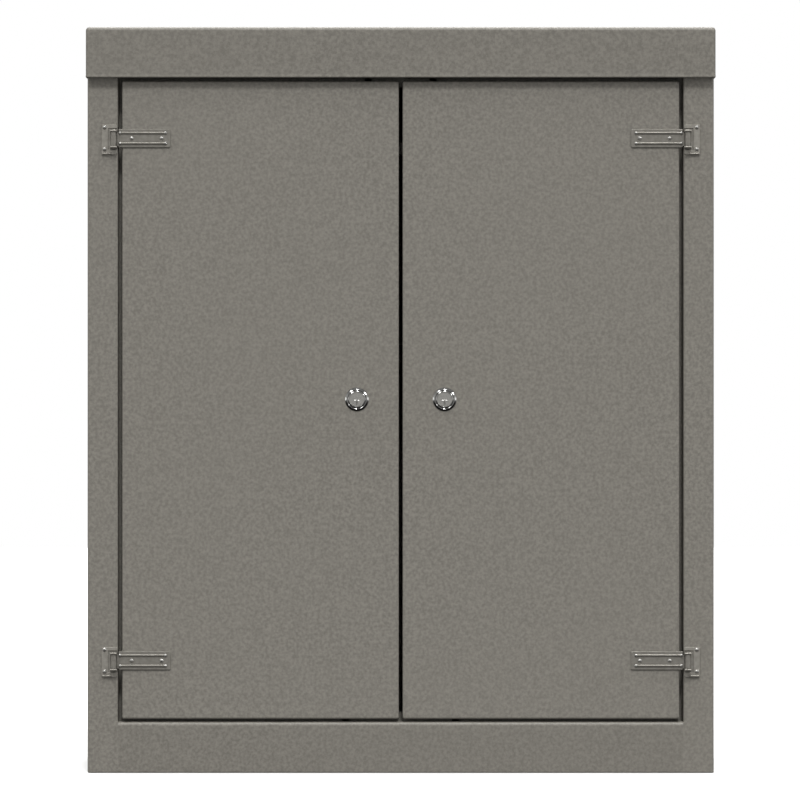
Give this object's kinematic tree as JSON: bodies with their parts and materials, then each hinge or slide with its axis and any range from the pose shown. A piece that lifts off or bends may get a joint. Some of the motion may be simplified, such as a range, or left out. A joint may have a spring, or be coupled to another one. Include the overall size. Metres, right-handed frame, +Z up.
{
  "type": "gun safe",
  "caption": "Low two-door steel gun cabinet with a folded cap, surface strap hinges, and a keyed rod lock on each door, with a barrel rack and shelf inside.",
  "frame": {"origin": "centre of the base plate, on the floor", "axes": "+Z up, +X to the right seen from the front, the doors face -Y"},
  "size_m": [1.0722, 0.3956, 1.27],
  "materials": {
    "grey_powder_coat": "satin fine texture",
    "stamped_hinge": "dull plated steel",
    "rivet_steel": "bright plated steel",
    "lock_chrome": "polished",
    "lock_nickel": "satin nickel",
    "plated_steel": "zinc plated",
    "black_rubber": "matte",
    "rack_foam": "closed-cell foam"
  },
  "bodies": {
    "root": {"left_side_panel": "grey_powder_coat", "right_side_panel": "grey_powder_coat", "back_panel": "grey_powder_coat", "floor_panel": "grey_powder_coat", "top_panel": "grey_powder_coat", "header_rail": "grey_powder_coat", "bottom_rail": "grey_powder_coat", "upper_door_stop": "grey_powder_coat", "lower_door_stop": "grey_powder_coat", "top_cap": "grey_powder_coat", "door_bumpers": "black_rubber", "shelf": "grey_powder_coat", "shelf_brackets": "grey_powder_coat", "barrel_rack": "grey_powder_coat", "barrel_rack_pad": "rack_foam", "rack_rivets": "plated_steel", "floor_mat": "black_rubber", "frame_leaf_rivets": "rivet_steel", "left_upper_frame_leaf": "stamped_hinge", "left_upper_hinge_pin": "stamped_hinge", "left_lower_frame_leaf": "stamped_hinge", "left_lower_hinge_pin": "stamped_hinge", "right_upper_frame_leaf": "stamped_hinge", "right_upper_hinge_pin": "stamped_hinge", "right_lower_frame_leaf": "stamped_hinge", "right_lower_hinge_pin": "stamped_hinge"},
    "left_door": {"left_door_panel": "grey_powder_coat", "left_door_stiffeners": "grey_powder_coat", "left_upper_strap_leaf": "stamped_hinge", "left_lower_strap_leaf": "stamped_hinge", "left_strap_rivets": "rivet_steel", "left_trim_ring": "lock_chrome", "left_lock_cylinder": "lock_nickel", "left_cylinder_nut": "lock_nickel", "left_lock_plate": "plated_steel", "left_lock_cover": "plated_steel", "left_cover_screws": "plated_steel", "left_rod_guides": "plated_steel"},
    "left_plug": {"left_key_plug": "lock_nickel", "left_pinion": "plated_steel"},
    "left_upper_rod": {"left_upper_rod": "plated_steel"},
    "left_lower_rod": {"left_lower_rod": "plated_steel"},
    "right_door": {"right_door_panel": "grey_powder_coat", "right_door_stiffeners": "grey_powder_coat", "right_upper_strap_leaf": "stamped_hinge", "right_lower_strap_leaf": "stamped_hinge", "right_strap_rivets": "rivet_steel", "right_trim_ring": "lock_chrome", "right_lock_cylinder": "lock_nickel", "right_cylinder_nut": "lock_nickel", "right_lock_plate": "plated_steel", "right_lock_cover": "plated_steel", "right_cover_screws": "plated_steel", "right_rod_guides": "plated_steel"},
    "right_plug": {"right_key_plug": "lock_nickel", "right_pinion": "plated_steel"},
    "right_upper_rod": {"right_upper_rod": "plated_steel"},
    "right_lower_rod": {"right_lower_rod": "plated_steel"}
  },
  "joints": [
    {"name": "left_door_hinge", "type": "hinge", "parent": "root", "child": "left_door", "pos_m": [-0.4888, -0.1964, 0.63], "axis": [0, 0, -1], "range_deg": [0, 175]},
    {"name": "left_key_turn", "type": "hinge", "parent": "left_door", "child": "left_plug", "pos_m": [-0.07475, -0.1905, 0.62985], "axis": [0, -1, 0], "range_deg": [0, 90]},
    {"name": "left_lower_rod_slide", "type": "slide", "parent": "left_door", "child": "left_lower_rod", "axis": [0, 0, -1], "range_m": [0, 0.0196]},
    {"name": "left_upper_rod_slide", "type": "slide", "parent": "left_door", "child": "left_upper_rod", "axis": [0, 0, 1], "range_m": [0, 0.02]},
    {"name": "right_door_hinge", "type": "hinge", "parent": "root", "child": "right_door", "pos_m": [0.4888, -0.1964, 0.63], "axis": [0, 0, 1], "range_deg": [0, 175]},
    {"name": "right_key_turn", "type": "hinge", "parent": "right_door", "child": "right_plug", "pos_m": [0.07475, -0.1905, 0.62985], "axis": [0, 1, 0], "range_deg": [0, 90]},
    {"name": "right_lower_rod_slide", "type": "slide", "parent": "right_door", "child": "right_lower_rod", "axis": [0, 0, -1], "range_m": [0, 0.0196]},
    {"name": "right_upper_rod_slide", "type": "slide", "parent": "right_door", "child": "right_upper_rod", "axis": [0, 0, 1], "range_m": [0, 0.02]}
  ],
  "couplings": [
    {"joint": "left_key_turn", "follows": "left_lower_rod_slide", "rad_per_m": 80},
    {"joint": "left_upper_rod_slide", "follows": "left_lower_rod_slide", "ratio": 1},
    {"joint": "right_key_turn", "follows": "right_lower_rod_slide", "rad_per_m": 80},
    {"joint": "right_upper_rod_slide", "follows": "right_lower_rod_slide", "ratio": 1}
  ]
}
